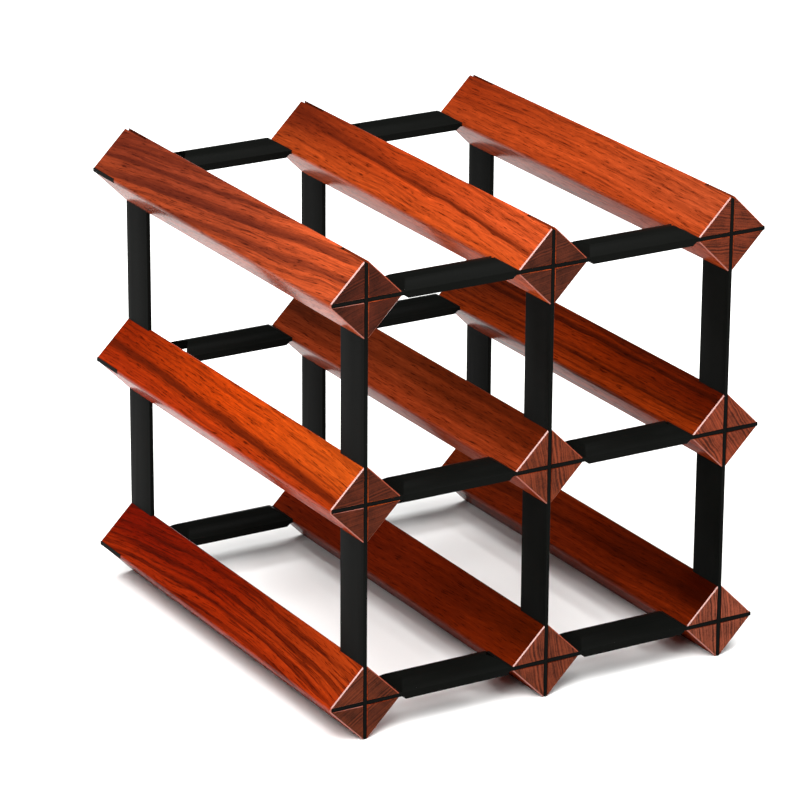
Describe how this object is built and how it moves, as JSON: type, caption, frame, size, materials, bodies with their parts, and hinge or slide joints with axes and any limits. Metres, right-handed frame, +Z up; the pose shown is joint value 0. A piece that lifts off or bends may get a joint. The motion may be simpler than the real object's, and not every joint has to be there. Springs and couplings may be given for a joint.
{
  "type": "wine rack",
  "caption": "Table-top wine rack: square timber bars set corner-up, slotted over a lattice of black steel uprights and saddle-pressed rails.",
  "frame": {"origin": "middle of the footprint, on the surface that the rack stands on", "axes": "+X to the right along the rails, +Y from the front to the rear along the bars, +Z up"},
  "size_m": [0.2332, 0.236, 0.2329],
  "materials": {
    "timber": "gloss",
    "steel": "satin",
    "pin": "satin"
  },
  "bodies": {
    "root": {"bar_bottom_left": "timber", "bar_bottom_centre": "timber", "bar_bottom_right": "timber", "bar_middle_left": "timber", "bar_middle_centre": "timber", "bar_middle_right": "timber", "bar_top_left": "timber", "bar_top_centre": "timber", "bar_top_right": "timber", "front_upright_left": "steel", "front_upright_centre": "steel", "front_upright_right": "steel", "front_rail_bottom": "steel", "front_rail_middle": "steel", "front_rail_top": "steel", "front_pins": "pin", "rear_upright_left": "steel", "rear_upright_centre": "steel", "rear_upright_right": "steel", "rear_rail_bottom": "steel", "rear_rail_middle": "steel", "rear_rail_top": "steel", "rear_pins": "pin"}
  },
  "joints": []
}
